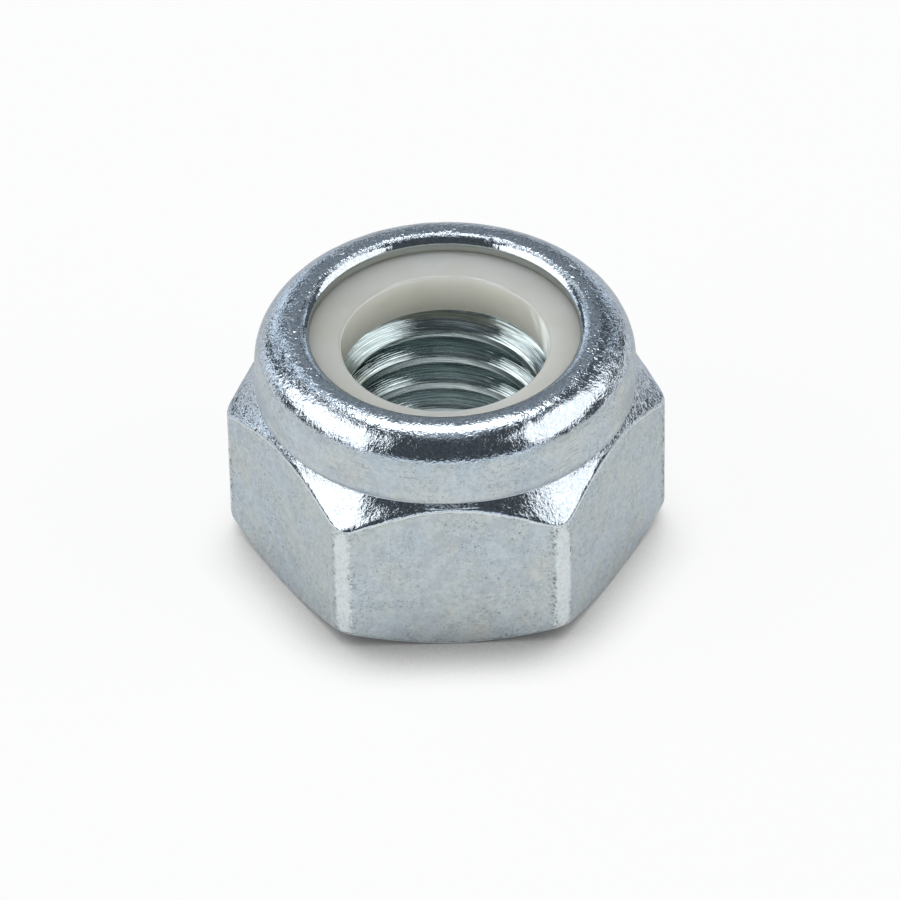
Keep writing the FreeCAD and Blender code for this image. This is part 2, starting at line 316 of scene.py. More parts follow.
def ledge_point(distance):
    """Radius and height at a distance from the collar, measured along the ledge."""
    turn = HOLLOW_START + np.minimum(distance, hollow_length) / HOLLOW_RADIUS
    out = np.maximum(distance - hollow_length, 0)
    radius = HOLLOW_CENTRE[0] - HOLLOW_RADIUS * np.cos(turn) + out * math.cos(LEDGE_ANGLE)
    height = HOLLOW_CENTRE[1] - HOLLOW_RADIUS * np.sin(turn) - out * math.sin(LEDGE_ANGLE)
    return radius, height


inner_end = ledge_point(np.maximum(ledge_length - INNER_ARM, 0.5 * ledge_length))
rounded(foot, head, inner_end, EDGE_ROUND, 6, ledge=(0, 1), edge=1.0, wall=(1, 0))
pinched = np.exp(-((from_flat / PINCH_WIDTH) ** 2))
longest_reach = np.maximum(ledge_length - EDGE_CLEARANCE, SHORTEST_SHARE * ledge_length)
for k in range(LEDGE_ROWS):
    t = 1 - (k + 0.5) / LEDGE_ROWS
    reach = longest_reach * t
    radius, height = ledge_point(reach)
    dip = LEDGE_DEPTH * rim_wave(angle, height) * np.minimum(1, reach / CALM_LENGTH)
    add_row(radius - DIP_INWARDS * dip, height - dip, ledge=1 + pinched)
print("Ledge from", round(ledge_length.min(), 2), "to", round(ledge_length.max(), 2), "mm long")

# %% [markdown]
# The collar's wall is upright, with a faint waist below its middle that catches a line of
# light. Above it comes the rim, which is the top of the collar rolled inwards over the ring.
# Outside it is one large quarter round, and its nose is a tighter one. Rolling leaves both
# slightly wavy.

# %% Collar wall, rolled rim and nose
COLLAR = 8.36
COLLAR_WALL = ((8.345, 7.945), (COLLAR, 8.0), (COLLAR, 8.32))
COLLAR_WAIST = ((8.335, 8.4), (8.335, 8.48), (8.35, 8.7), (COLLAR, 9.0))
BODY_TOP = 11.1
RIM_CENTRE = (6.484, 9.224)
RIM_RADIUS = COLLAR - RIM_CENTRE[0]
NOSE_RADIUS = 0.6
NOSE_CENTRE = (RIM_CENTRE[0], BODY_TOP - NOSE_RADIUS)
RIM_ROWS, NOSE_ROWS = 24, 9
RIM_DEPTH, NOSE_DEPTH = 0.012, 0.008

add_row(*COLLAR_FOOT, ledge=1)
for spot in COLLAR_WALL + COLLAR_WAIST:
    add_row(*spot)
for k in range(RIM_ROWS + 1):
    turn = math.pi / 2 * k / RIM_ROWS
    size = RIM_RADIUS - RIM_DEPTH * rim_wave(angle, 2 * turn) * math.sin(2 * turn)
    add_row(RIM_CENTRE[0] + size * math.cos(turn), RIM_CENTRE[1] + size * math.sin(turn))
for k in range(1, NOSE_ROWS + 1):
    turn = math.pi / 2 + math.pi / 4 * k / NOSE_ROWS
    size = NOSE_RADIUS - NOSE_DEPTH * rim_wave(angle, 3 + turn) * math.sin(2 * turn) ** 2
    add_row(NOSE_CENTRE[0] + size * math.cos(turn), NOSE_CENTRE[1] + size * math.sin(turn))
print("Rows up to the nose:", len(rows))

# %% [markdown]
# A short upright lip ends the rim. Under it the pocket that holds the ring closes the cut. It is
# hidden, so it has few rows, and the last one lies just inside the upper countersink.

# %% Lip, pocket and seat
LIP = 5.94
LIP_ROUND_TOP, LIP_ROUND_FOOT, SEAT_ROUND = 0.09, 0.08, 0.04
lip_top, lip_foot = (LIP, 10.804), (LIP, 10.424)
pocket_top, pocket_foot = (7.2, 9.164), (7.2, 8.05)
seat_edge = (5.038, pocket_foot[1])
seat_end = (seat_edge[0] - END_STEP, seat_edge[1] - END_STEP)

nose_end = (rows[-1][0], rows[-1][1])
rounded(nose_end, lip_top, lip_foot, LIP_ROUND_TOP, 5)
rounded(lip_top, lip_foot, pocket_top, LIP_ROUND_FOOT, 4)
add_row(*pocket_top)
add_row(*pocket_foot)
straight(pocket_foot, seat_edge, 2)
rounded(pocket_foot, seat_edge, seat_end, SEAT_ROUND, 3)
add_row(*seat_end)
print("Rows in the whole cut:", len(rows))

# %% [markdown]
# ## The thread
# M10 with a pitch of 1.5 mm, right-handed. The rows of the bore climb with the helix, so each
# crest and root lies along its own line of vertices. After one turn a row has climbed one pitch,
# and meets the row that started one pitch higher. Rows that would leave the bore are gathered
# into its end ring, and the two countersinks cut the thread back where they are wider than it.
# Blender's screw modifier could turn a tooth round the axis too, but its ends would stay open.
#
# The rows of half a pitch are listed one by one: close together where crest and root are rounded,
# and wide apart on the straight flank. The other half is their mirror image.

# %% Thread form
PITCH = 1.5
CREST_HALF = 0.1875
CREST_HEIGHT = 0.765
FLANK = math.tan(math.radians(60))
CREST_ROUND, ROOT_ROUND, CUT_ROUND = 0.06, 0.1, 0.03
UPPER_SINK = 7.2

ROW_PLACES = np.array([0.09, 0.15, 0.19, 0.23, 0.29, 0.42, 0.54, 0.61, 0.67])
one_pitch = np.concatenate([[0], ROW_PLACES, [PITCH / 2], (PITCH - ROW_PLACES)[::-1]])
PER_TURN = len(one_pitch)
climb = np.concatenate([CREST_HEIGHT + PITCH * (n - 2) + one_pitch for n in range(7)])
print("Rows in one pitch of the thread:", PER_TURN)


def bore_radius(height, from_crest):
    """Thread and countersinks together, at a height and a distance from the nearest crest."""
    tooth = soft_max(MINOR, MINOR + (from_crest - CREST_HALF) * FLANK, CREST_ROUND)
    tooth = soft_min(tooth, MAJOR, ROOT_ROUND)
    upper_sink = MINOR + (height - UPPER_SINK)
    lower_sink = MINOR + (SINK_DEPTH - height) / SINK_SLOPE
    return soft_max(soft_max(tooth, upper_sink, CUT_ROUND), lower_sink, CUT_ROUND)


# %% [markdown]
# Now the rows become vertices: first the outside, then the bore. A row of the bore is a spiral,
# so its height changes with the angle, and where it has left the bore it uses the vertices of
# the end ring again.

# %% Vertices of the steel
def point_at(radius, turn, height):
    """A point in metres from its radius, angle and height."""
    return (radius * math.cos(turn) * MM, radius * math.sin(turn) * MM, height * MM)


cuts = np.array(rows)
OUTER_ROWS = len(rows)
points, point_marks = [], []
for j in range(OUTER_ROWS):
    for i in range(STEPS):
        points.append(point_at(cuts[j, 0, i], angle[i], cuts[j, 1, i]))
        point_marks.append(tuple(cuts[j, 2:, i]))

GATHER = 0.01
outer_index = np.arange(OUTER_ROWS * STEPS).reshape(OUTER_ROWS, STEPS)
bore_index = np.zeros((len(climb), STEPS), int)
for j, start in enumerate(climb):
    height = start + PITCH * angle / (2 * math.pi)
    phase = one_pitch[j % PER_TURN]
    from_crest = min(phase, PITCH - phase)
    for i in range(STEPS):
        if height[i] <= sink_start[1] + GATHER:
            bore_index[j, i] = outer_index[0, i]
        elif height[i] >= seat_end[1] - GATHER:
            bore_index[j, i] = outer_index[-1, i]
        else:
            bore_index[j, i] = len(points)
            radius = float(bore_radius(height[i], from_crest))
            points.append(point_at(radius, angle[i], height[i]))
            point_marks.append((0.0, 0.0, 0.0))
print("Steel vertices:", len(points))


# %% [markdown]
# Neighbouring vertices become faces. A face whose corners have been gathered into one point
# loses that corner, and is left out if fewer than three remain. Where the last angle meets the
# first, a row of the bore is joined to the one that started a pitch higher.

# %% Faces of the steel
def without_repeats(corners):
    """The corners of a face, each once, or nothing if fewer than three remain."""
    kept = [c for k, c in enumerate(corners) if c != corners[k - 1]]
    return tuple(kept) if len(set(kept)) >= 3 else None


faces = []
for j in range(OUTER_ROWS - 1):
    below, above = outer_index[j], outer_index[j + 1]
    for i in range(STEPS):
        n = (i + 1) % STEPS
        faces.append((below[i], below[n], above[n], above[i]))
for j in range(len(climb) - 1):
    for i in range(STEPS):
        n, lift = (i + 1, 0) if i + 1 < STEPS else (0, PER_TURN)
        if j + lift + 1 < len(climb):
            here, there = bore_index[j : j + 2, i], bore_index[j + lift : j + lift + 2, n]
            face = without_repeats((here[0], here[1], there[1], there[0]))
            if face:
                faces.append(face)
print("Steel faces:", len(faces))


# %% [markdown]
# The marks travel with the mesh as attributes, which a material can read later. A closed mesh
# has every edge on exactly two faces, and that is counted here.

# %% Make the steel body
def make_piece(name, corners, sides):
    """An object from its points and faces, smooth shaded, with its count of open edges."""
    mesh = bpy.data.meshes.new(name)
    mesh.from_pydata(corners, [], [tuple(int(c) for c in s) for s in sides])
    made = bmesh.new()
    made.from_mesh(mesh)
    bmesh.ops.recalc_face_normals(made, faces=made.faces)
    open_edges = sum(1 for e in made.edges if len(e.link_faces) != 2)
    triangles = sum(len(f.verts) - 2 for f in made.faces)
    volume = made.calc_volume(signed=True) / MM**3
    made.to_mesh(mesh)
    made.free()
    mesh.shade_smooth()
    piece = bpy.data.objects.new(name, mesh)
    bpy.context.scene.collection.objects.link(piece)
    print(name, "triangles", triangles, "open edges", open_edges, "volume", round(volume, 1), "mm3")
    return piece


steel = make_piece("steel_body", points, faces)
for k, mark in enumerate(("ledge", "edge", "wall")):
    field = steel.data.attributes.new(mark, "FLOAT", "POINT")
    field.data.foreach_set("value", np.array([m[k] for m in point_marks], np.float32))

# %% [markdown]
# ## The nylon ring
# The real ring is a plain washer of nylon, squeezed by the rolled rim until its top is dished
# towards the hole. It is a body of revolution, so one section turned round the axis is enough.
# The inner edge is a proper rounding, because a thin bright line runs along it in the light.

# %% Section of the ring
RING_SIDE, RING_FOOT, RING_BORE = 7.18, 8.05, 4.55
RING_SHOULDER, RING_TOP = 9.164, 10.404
DISH_ANGLE = 16
DISH = math.tan(math.radians(DISH_ANGLE))
EDGE_RADIUS = 0.1
FOOT_CHAMFER = 0.15
SIDE_MIDDLE, FOOT_MIDDLE = 8.6, 5.6
UNDER_LIP, PAST_LIP, LIP_DROP = 0.02, 0.03, 0.015
CHAMFER_RISE = 0.045


def ring_section():
    """Points once round the section: side, shoulder, dished top, inner edge, hole and foot."""
    line = [(RING_SIDE, z) for z in (RING_FOOT, SIDE_MIDDLE, RING_SHOULDER)]
    line.append((0.5 * (RING_SIDE + LIP), 0.5 * (RING_SHOULDER + RING_TOP)))
    line += [(LIP + UNDER_LIP, RING_TOP), (LIP - PAST_LIP, RING_TOP - LIP_DROP)]

    tangent = EDGE_RADIUS * math.tan(math.radians(90 - DISH_ANGLE) / 2)
    dish_end = RING_BORE + tangent
    for t in np.linspace(0.15, 0.97, 9):
        radius = between(LIP, dish_end, t)
        line.append((radius, RING_TOP - (LIP - radius) * DISH))

    dish_at_bore = RING_TOP - (LIP - RING_BORE) * DISH
    centre_r = RING_BORE + EDGE_RADIUS
    centre_z = dish_at_bore + tangent * DISH - EDGE_RADIUS * math.cos(math.radians(DISH_ANGLE))
    for turn in np.radians(np.linspace(90 + DISH_ANGLE, 180, 10)):
        line.append((centre_r + EDGE_RADIUS * math.cos(turn), centre_z + EDGE_RADIUS * math.sin(turn)))

    foot_edge = RING_FOOT + FOOT_CHAMFER
    line += [(RING_BORE, z) for z in np.linspace(centre_z - 0.05, foot_edge + 0.04, 8)]
    line += [(RING_BORE, foot_edge), (RING_BORE + 0.5 * FOOT_CHAMFER, RING_FOOT + CHAMFER_RISE)]
    line += [(RING_BORE + FOOT_CHAMFER, RING_FOOT), (FOOT_MIDDLE, RING_FOOT)]
    return line


section = ring_section()
print("Points in the ring's section:", len(section))

# %% [markdown]
# The section is repeated at even angles, since a round ring has no place that needs closer
# steps, and each copy is joined to the next.

# %% Make the nylon ring
RING_STEPS = 240
ring_points, ring_faces = [], []
for r, z in section:
    for i in range(RING_STEPS):
        ring_points.append(point_at(r, 2 * math.pi * i / RING_STEPS, z))
for j in range(len(section)):
    below, above = j * RING_STEPS, (j + 1) % len(section) * RING_STEPS
    for i in range(RING_STEPS):
        n = (i + 1) % RING_STEPS
        ring_faces.append((below + i, below + n, above + n, above + i))
nylon = make_piece("nylon_insert", ring_points, ring_faces)


# %% [markdown]
# ## Writing shader maths
# A material is a graph of nodes, and sums written as nodes are hard to read. This small class
# wraps a socket so that `1 - mask * 0.5` adds the Math nodes itself.

# %% A socket that can be calculated with
class Field:
    def __init__(self, graph, socket):
        self.graph, self.socket = graph, socket

    def math(self, operation, first, second=0.0):
        return self.graph.node("ShaderNodeMath", {"operation": operation}, {0: first, 1: second})

    def others(self, *names):
        """Named outputs of the node that this socket belongs to."""
        return [Field(self.graph, self.socket.node.outputs[name]) for name in names]

    def __add__(self, other):
        return self.math("ADD", self, other)

    def __sub__(self, other):
        return self.math("SUBTRACT", self, other)

    def __rsub__(self, other):
        return self.math("SUBTRACT", other, self)

    def __mul__(self, other):
        return self.math("MULTIPLY", self, other)

    def __truediv__(self, other):
        return self.math("DIVIDE", self, other)

    def __pow__(self, other):
        return self.math("POWER", self, other)

    def most(self, other):
        return self.math("MAXIMUM", self, other)

    def sine(self):
        return self.math("SINE", self)

    def cosine(self):
        return self.math("COSINE", self)

    __radd__ = __add__
    __rmul__ = __mul__


# %% [markdown]
# The second class holds a tree of nodes and has one method for every kind of node. Three helpers
# on top of it are used all the time: a vector of three values, a soft step, which turns a value
# into a mask, and a blend of two colours. A third class adds what only a material needs.

# %% A graph of nodes and a finish
class Graph:
    """A tree of nodes and the few ways in which this lesson adds to it."""

    def __init__(self, tree):
        self.tree = tree

    def node(self, kind, settings=None, sockets=None, out=0):
        """A node of this kind, with its settings first and then its values and links."""
        made = self.tree.nodes.new(kind)
        for name, value in (settings or {}).items():
            setattr(made, name, value)
        for name, value in (sockets or {}).items():
            if isinstance(value, Field):
                self.tree.links.new(value.socket, made.inputs[name])
            else:
                made.inputs[name].default_value = value
        return Field(self, made.outputs[out]) if made.outputs else None

    def vector(self, x, y, z):
        return self.node("ShaderNodeCombineXYZ", None, {0: x, 1: y, 2: z})

    def step(self, value, low, high):
        """0 at low, 1 at high, with a soft passage between. Low may be the larger one."""
        return self.node(
            "ShaderNodeMapRange",
            {"interpolation_type": "SMOOTHSTEP"},
            {"Value": value, "From Min": low, "From Max": high},
        )

    def blend(self, share, first, second):
        """A colour between two colours."""
        settings = {"data_type": "RGBA", "clamp_factor": True}
        return self.node("ShaderNodeMix", settings, {0: share, 6: first, 7: second}, 2)


class Finish(Graph):
    """One material, from its texture coordinates in millimetres to its surface."""

    def __init__(self, name):
        self.material = bpy.data.materials.new(name)
        self.material.use_nodes = True
        super().__init__(self.material.node_tree)
        self.tree.nodes.clear()
        self.place = self.node(
            "ShaderNodeVectorMath",
            {"operation": "SCALE"},
            {0: self.node("ShaderNodeTexCoord", out="Object"), "Scale": 1 / MM},
        )

    def noise(self, scale, detail=2.0, rough=0.5, twist=0.0, at=None, w=None):
        """Cloudy noise from 0 to 1. A scale of 5 gives flecks a fifth of a millimetre wide."""
        settings = {"noise_dimensions": "3D" if w is None else "4D"}
        sockets = {"Vector": at or self.place, "Scale": scale, "Detail": detail}
        sockets |= {"Roughness": rough, "Distortion": twist}
        if w is not None:
            sockets["W"] = w
        return self.node("ShaderNodeTexNoise", settings, sockets, "Fac")

    def stretched(self, turned, scale):
        """The coordinates turned by three angles and scaled differently along each axis."""
        sockets = {"Vector": self.place, "Rotation": turned, "Scale": scale}
        return self.node("ShaderNodeMapping", None, sockets)

    def bump(self, height, depth):
        """A normal that tilts as if the surface rose by this many millimetres."""
        sockets = {"Strength": 1.0, "Distance": depth * MM, "Height": height}
        return self.node("ShaderNodeBump", None, sockets)

    def mark(self, name):
        return self.node("ShaderNodeAttribute", {"attribute_name": name}, out="Fac")

    def close(self, shader):
        self.node("ShaderNodeOutputMaterial", None, {"Surface": shader})
        print(self.material.name, "has", len(self.tree.nodes), "nodes")

    def surface(self, sockets):
        """The usual ending: one Principled shader with these values and links."""
        self.close(self.node("ShaderNodeBsdfPrincipled", None, sockets))
        return self.material


# %% [markdown]
# ## The zinc finish
# One plating covers the whole body, but it looks different from zone to zone. The flats and the
# collar wall slid along the die and are matte. The rolled rim and the ledge were pressed hard
# and stay bright, with a crinkle like foil. The thread was cut by a tap, which leaves fine lines
# round the bore. Separate materials would meet in hard lines, so there is one material, where
# each zone has a mask with a ragged border, and the masks choose colour, gloss and relief.

# %% Masks of the zones
RIM_START = (9.95, 10.15)
LEDGE_START = (0.42, 0.62)
LIP_START, LIP_REACH = (10.3, 10.4), (6.0, 5.97)
BORE_END, SEAT_LEVEL = (5.06, 5.12), (7.9, 8.1)

zinc = Finish("zinc_plating")
x, y, z = zinc.node("ShaderNodeSeparateXYZ", None, {0: zinc.place}).others("X", "Y", "Z")
radius = (x * x + y * y) ** 0.5
ragged = zinc.noise(7.0, 3.0, 0.65) - 0.5
broad = zinc.noise(0.55, 2.0, 0.5) - 0.5

rim_zone = zinc.step(z + ragged * 0.4 + broad * 0.25, *RIM_START)
ledge_zone = zinc.step(zinc.mark("ledge") + ragged * 0.7, *LEDGE_START)
bright_zone = rim_zone.most(ledge_zone)
lip_zone = zinc.step(z, *LIP_START) * zinc.step(radius + ragged * 0.05, *LIP_REACH)
above_seat = zinc.step(z, *SEAT_LEVEL)
thread_zone = (1 - zinc.step(radius, *BORE_END)) * (1 - above_seat)
collar_zone = above_seat * (1 - bright_zone) * (1 - thread_zone)
pinch = zinc.step(zinc.mark("ledge"), 1.15, 1.6)

# %% [markdown]
# The crinkle is a sum of folds of three sizes and of creases. A crease is made by bending a
# noise over at its middle, which leaves a sharp valley there. On the back and the sides of the
# rim it is coarser and stronger, because fine folds alone would only blur its reflections to an
# even grey. It is strongest where the ledge was pinched.

# %% Crinkle of the pressed zinc
fine_folds = zinc.noise(8.5, 2.0, 0.6, 0.7)
middle_folds = zinc.noise(3.4, 1.0, 0.5, 1.2)
wide_folds = zinc.noise(2.0, 1.0, 0.5, 0.5)
curls = zinc.noise(2.4, 1.0, 0.5, 1.5) - 0.5
creases = curls.most(0 - curls)

rolled_hard = zinc.step(y, -5.5, -2.5)
uneven_force = zinc.step(zinc.noise(0.5, 2.0, 0.5), 0.35, 0.7)
vigour = 0.38 + uneven_force * 0.55 + rolled_hard * 0.3 + pinch
folds = creases * (0.5 + rolled_hard * 0.9) + fine_folds * (0.44 - rolled_hard * 0.3)
folds = folds + middle_folds * (0.4 + rolled_hard * 0.3) + wide_folds * 0.4
crinkle = folds * vigour

# %% [markdown]
# Towards the lip the crinkle fades, and rolling left short streaks that run round the rim. They
# are a noise whose coordinates hardly change along the rim and change fast across it.

# %% Streaks near the lip
LIP_FADE = (6.4, 6.15)
round_x, round_y = x / radius, y / radius
streaks = zinc.noise(1.0, 2.0, 0.6, at=zinc.vector(round_x * 14, round_y * 14, (radius - z) * 9))
near_lip = zinc.step(radius + ragged * 0.3, *LIP_FADE) * rim_zone
rim_relief = crinkle * (1 - near_lip * 0.85) + streaks * near_lip * 0.25

# %% [markdown]
# The tool lines of the thread need a coordinate that follows the helix. Its angle is 360 degrees
# for one pitch of height, less the angle round the axis. Its sine and cosine never jump, so the
# lines join up everywhere. With the two that say where round the bore a point is, that makes
# four coordinates, and so this noise has four dimensions.

# %% Tool lines of the thread
TOOL_LINE_RATE = 8
lean = z * (2 * math.pi / PITCH) - x.math("ARCTAN2", y, x)
along = zinc.vector(round_x * 1.6, round_y * 1.6, lean.cosine() * TOOL_LINE_RATE)
tool_lines = zinc.noise(1.0, 2.0, 0.65, at=along, w=lean.sine() * TOOL_LINE_RATE)

# %% [markdown]
# The three reliefs and a fine grain for the matte zones are put together by the masks into one
# height, and a Bump node turns it into a normal. The forms themselves are all in the mesh, and
# only what is finer than its faces is left to the bump.

# %% Relief of the zinc
RELIEF_DEPTH = 0.04
grain = zinc.noise(9.0, 4.0, 0.65)
relief = bright_zone * rim_relief + (1 - bright_zone) * grain * 0.4
relief = relief * (1 - thread_zone) + thread_zone * tool_lines * 0.42
zinc_normal = zinc.bump(relief, RELIEF_DEPTH)

# %% [markdown]
# Small damage comes next. Pits are cells of a Voronoi texture, where each cell draws its own
# size and many draw none. Scratches and nicks are noise stretched along a slanting direction
# and cut off high, so that only its peaks stay, and the nicks keep to a few clusters.

# %% Pits, scratches and nicks
PITS_PER_MM = 1.9
cell_sockets = {"Vector": zinc.place, "Scale": PITS_PER_MM}
cells = zinc.node("ShaderNodeTexVoronoi", {"feature": "F1"}, cell_sockets)
pit_distance, pit_colour = cells.others("Distance", "Color")
pit_draw = zinc.node("ShaderNodeSeparateColor", None, {0: pit_colour})
pit_size = zinc.step(pit_draw, 0.45, 1.0) * 0.14
pits = 1 - zinc.step(pit_distance + ragged * 0.16, pit_size * 0.5, pit_size + 0.02)

scratch_place = zinc.stretched((0.5, 0.9, 0.3), (14, 1.6, 14))
scratches = zinc.step(zinc.noise(1.0, 2.0, 0.5, 0.4, at=scratch_place), 0.66, 0.76)

nick_place = zinc.stretched((0.9, 0.2, 0.7), (11, 4.5, 11))
nick_clusters = zinc.step(zinc.noise(0.6, 2.0, 0.5), 0.42, 0.56)
nicks = zinc.step(zinc.noise(1.0, 2.0, 0.6, 0.8, at=nick_place), 0.59, 0.65) * nick_clusters

# %% [markdown]
# The rounded lands and the edges stick out, so handling wore them paler than the flats. Their
# borders are ragged and lined with dark specks, where the plating wore through in flecks.

# %% Wear on lands and edges
LAND_START = (9.56, 9.63)
BORDER_START, BORDER_END = (9.44, 9.57), (9.64, 9.6)

on_wall = zinc.mark("wall")
land = zinc.step(radius + ragged * 0.3 + broad * 0.12, *LAND_START) * on_wall
land_border = zinc.step(radius + ragged * 0.3, *BORDER_START) * zinc.step(radius, *BORDER_END)
land_border = land_border * on_wall * zinc.step(zinc.noise(0.9, 2.0, 0.5), 0.36, 0.56)
worn = zinc.step(zinc.mark("edge") + ragged * 1.1, 0.35, 0.8)
edge_border = zinc.step(zinc.mark("edge"), 0.1, 0.4) * (1 - worn)
specks = zinc.step(zinc.noise(6.0, 3.0, 0.65), 0.5, 0.58)

# %% [markdown]
# Sliding along the dies left two kinds of lines: short drag marks that run round the collar, and
# faint upright lines on the walls of the hexagon. Both are noise with coordinates that are
# stretched along the line. The marks come and go with a wide cloud, which the colour uses too.

# %% Drag marks and die lines
mottle = zinc.noise(5.0, 5.0, 0.7, 0.4)
cloud = zinc.noise(0.45, 3.0, 0.6)
drag_lines = zinc.noise(1.0, 2.0, 0.5, at=zinc.vector(round_x * 7, round_y * 7, z * 15))
drag = zinc.step(drag_lines, 0.62, 0.72) * zinc.step(cloud, 0.38, 0.52) * collar_zone
upright_lines = zinc.noise(1.0, 2.0, 0.5, 0.3, at=zinc.vector(x * 8, y * 8, z * 1.1))
die_lines = zinc.step(upright_lines, 0.6, 0.72) * on_wall * zinc.step(broad, -0.05, 0.08)

# %% [markdown]
# The colour of the matte plating is a pale blue grey that leans to yellow in places. Everything
# else lies over it in layers, each with a mask, an amount and a tint. A list of layers is easier
# to tune than a ramp, because each one can be changed or left out alone.

# %% Colour of the matte zinc
COOL, WARM, YELLOWED = (0.55, 0.62, 0.665, 1), (0.6, 0.63, 0.605, 1), (0.62, 0.61, 0.53, 1)
DARK_FLECK, PALE_FLECK_AND_SHEEN, SMUDGE = (0.36, 0.42, 0.45, 1), (0.68, 0.73, 0.75, 1), (0.4, 0.46, 0.5, 1)
DIE_LINE, SCRATCH, DRAG = (0.36, 0.41, 0.44, 1), (0.3, 0.33, 0.34, 1), (0.25, 0.28, 0.28, 1)
NICK, PIT, SPECK = (0.2, 0.24, 0.26, 1), (0.16, 0.17, 0.17, 1), (0.16, 0.18, 0.18, 1)
WORN = (0.8, 0.84, 0.84, 1)

satin = zinc.blend(zinc.step(cloud, 0.3, 0.75), COOL, WARM)
satin_layers = (
    (zinc.step(zinc.noise(0.8, 2.0, 0.5), 0.56, 0.7), 0.4, YELLOWED),
    (zinc.step(mottle, 0.44, 0.7), 0.55, DARK_FLECK),
    (zinc.step(mottle, 0.46, 0.3), 0.45, PALE_FLECK_AND_SHEEN),
    (zinc.step(zinc.noise(1.7, 3.0, 0.6), 0.45, 0.65), 0.35, SMUDGE),
    (die_lines, 0.35, DIE_LINE),
    (scratches, 0.3, SCRATCH),
    (drag, 0.75, DRAG),
    (nicks, 0.8, NICK),
    (pits, 0.45, PIT),
    # The collar is painted a little paler all over, a painted sheen.
    (collar_zone, 0.05, PALE_FLECK_AND_SHEEN),
    (land.most(worn) * (1.2 - mottle), 1.0, WORN),
    (specks * land_border.most(edge_border), 0.8, SPECK),
)
for mask, amount, tint in satin_layers:
    satin = zinc.blend(mask * amount, satin, tint)

# %% [markdown]
# The pressed zinc is painted paler on its raised folds and darker in the hollows between them,
# a painted highlight and painted shade that follow the crinkle. It is darker where it was
# pinched, and greyer on the lip. The thread is plated thinly. Its tool lines are real marks,
# painted pale and dark as painted glints and painted shade, and the top of the bore under the
# ring is darkened a little as painted shade.

# %% Colour of the pressed zinc and the thread
FOLD_HOLLOW_SHADE, FOLD_TOP_HIGHLIGHT = (0.42, 0.48, 0.54, 1), (0.62, 0.67, 0.72, 1)
PINCHED, LIP_GREY = (0.1, 0.12, 0.14, 1), (0.46, 0.48, 0.46, 1)
TOOL_MARK_SHADE, TOOL_MARK_GLINT = (0.34, 0.41, 0.42, 1), (0.68, 0.76, 0.76, 1)
SINK_PAINTED_SHADE = (0.3, 0.36, 0.37, 1)

# Painted highlight and painted shade: the raised folds are paler and the hollows between them darker.
pressed = zinc.blend(zinc.step(fine_folds, 0.35, 0.65), FOLD_HOLLOW_SHADE, FOLD_TOP_HIGHLIGHT)
pressed = zinc.blend(pinch * zinc.step(ragged, 0.03, -0.03), pressed, PINCHED)
pressed = zinc.blend(lip_zone, pressed, LIP_GREY)
# Painted shade: the top of the bore, under the ring, is darkened up to a quarter of the way to a dark
# teal.
countersink = zinc.step(z, 7.25, 7.4) * thread_zone
# The tool lines are real marks, and their pale and dark colours are painted glints and painted shade.
cut = zinc.blend(zinc.step(tool_lines, 0.42, 0.64), TOOL_MARK_SHADE, TOOL_MARK_GLINT)
cut = zinc.blend(countersink * 0.25, cut, SINK_PAINTED_SHADE)
zinc_colour = zinc.blend(thread_zone, zinc.blend(bright_zone, satin, pressed), cut)

# %% [markdown]
# Roughness follows the zones as well: matte flats, a slightly smoother collar, and a rim, ledge
# and thread that are almost mirrors. The matte plating isn't fully metallic, because its grain
# holds a chalky film that spreads light like a pale paint.

# %% Gloss of the zinc
MATTE, PRESSED_ROUGH, THREAD_ROUGH = 0.45, 0.08, 0.085
MATTE_METAL = 0.72

satin_rough = MATTE - collar_zone * 0.08 + (mottle - 0.5) * 0.25
rough = satin_rough * (1 - bright_zone) + bright_zone * PRESSED_ROUGH
rough = rough + pinch * 0.25 + lip_zone * 0.2
rough = rough * (1 - thread_zone) + thread_zone * THREAD_ROUGH
metal = (MATTE_METAL + bright_zone * (1 - MATTE_METAL)).most(thread_zone)

zinc_material = zinc.surface(
    {
        "IOR": 1.5,
        "Specular Tint": (0.6, 0.62, 0.65, 1),
        "Base Color": zinc_colour,
        "Roughness": rough,
        "Metallic": metal,
        "Normal": zinc_normal,
    }
)

# %% [markdown]
# ## The nylon finish
# Natural nylon is a warm ivory, slightly see-through, with a soft sheen. Subsurface scattering
# gives the glow that a plain diffuse white lacks. Light also comes through the ring from outside
# and warms the wall of its hole. The scattering doesn't bring it that far, so that wall is painted
# paler and given a faint painted glow, which stand in for the light coming through.
# The rounded inner edge is polished by a clear coat, and shows as a line.

# %% Nylon
BORE_WALL, INNER_EDGE = (4.6, 4.56), (4.68, 4.64)
IVORY_COOL, IVORY_WARM = (0.675, 0.655, 0.565, 1), (0.7, 0.685, 0.61, 1)
HOLE_PAINTED_LIGHT, HOLE_PAINTED_GLOW = (0.95, 0.9, 0.74, 1), (0.075, 0.067, 0.045, 1)
NO_GLOW = (0, 0, 0, 1)
MOULDING_DEPTH = 0.004

ivory = Finish("natural_nylon")
ivory_cloud = ivory.noise(0.6, 2.0, 0.5)
ivory_grain = ivory.noise(6.0, 3.0, 0.6)
flat_sockets = {0: ivory.place, 1: (1, 1, 0)}
flat_place = ivory.node("ShaderNodeVectorMath", {"operation": "MULTIPLY"}, flat_sockets)
from_axis = ivory.node("ShaderNodeVectorMath", {"operation": "LENGTH"}, {0: flat_place}, "Value")
bore_wall = ivory.step(from_axis, *BORE_WALL)
inner_edge = ivory.step(from_axis, *INNER_EDGE)
ivory_colour = ivory.blend(ivory.step(ivory_cloud, 0.35, 0.65), IVORY_COOL, IVORY_WARM)

ivory.material.cycles.emission_sampling = "NONE"
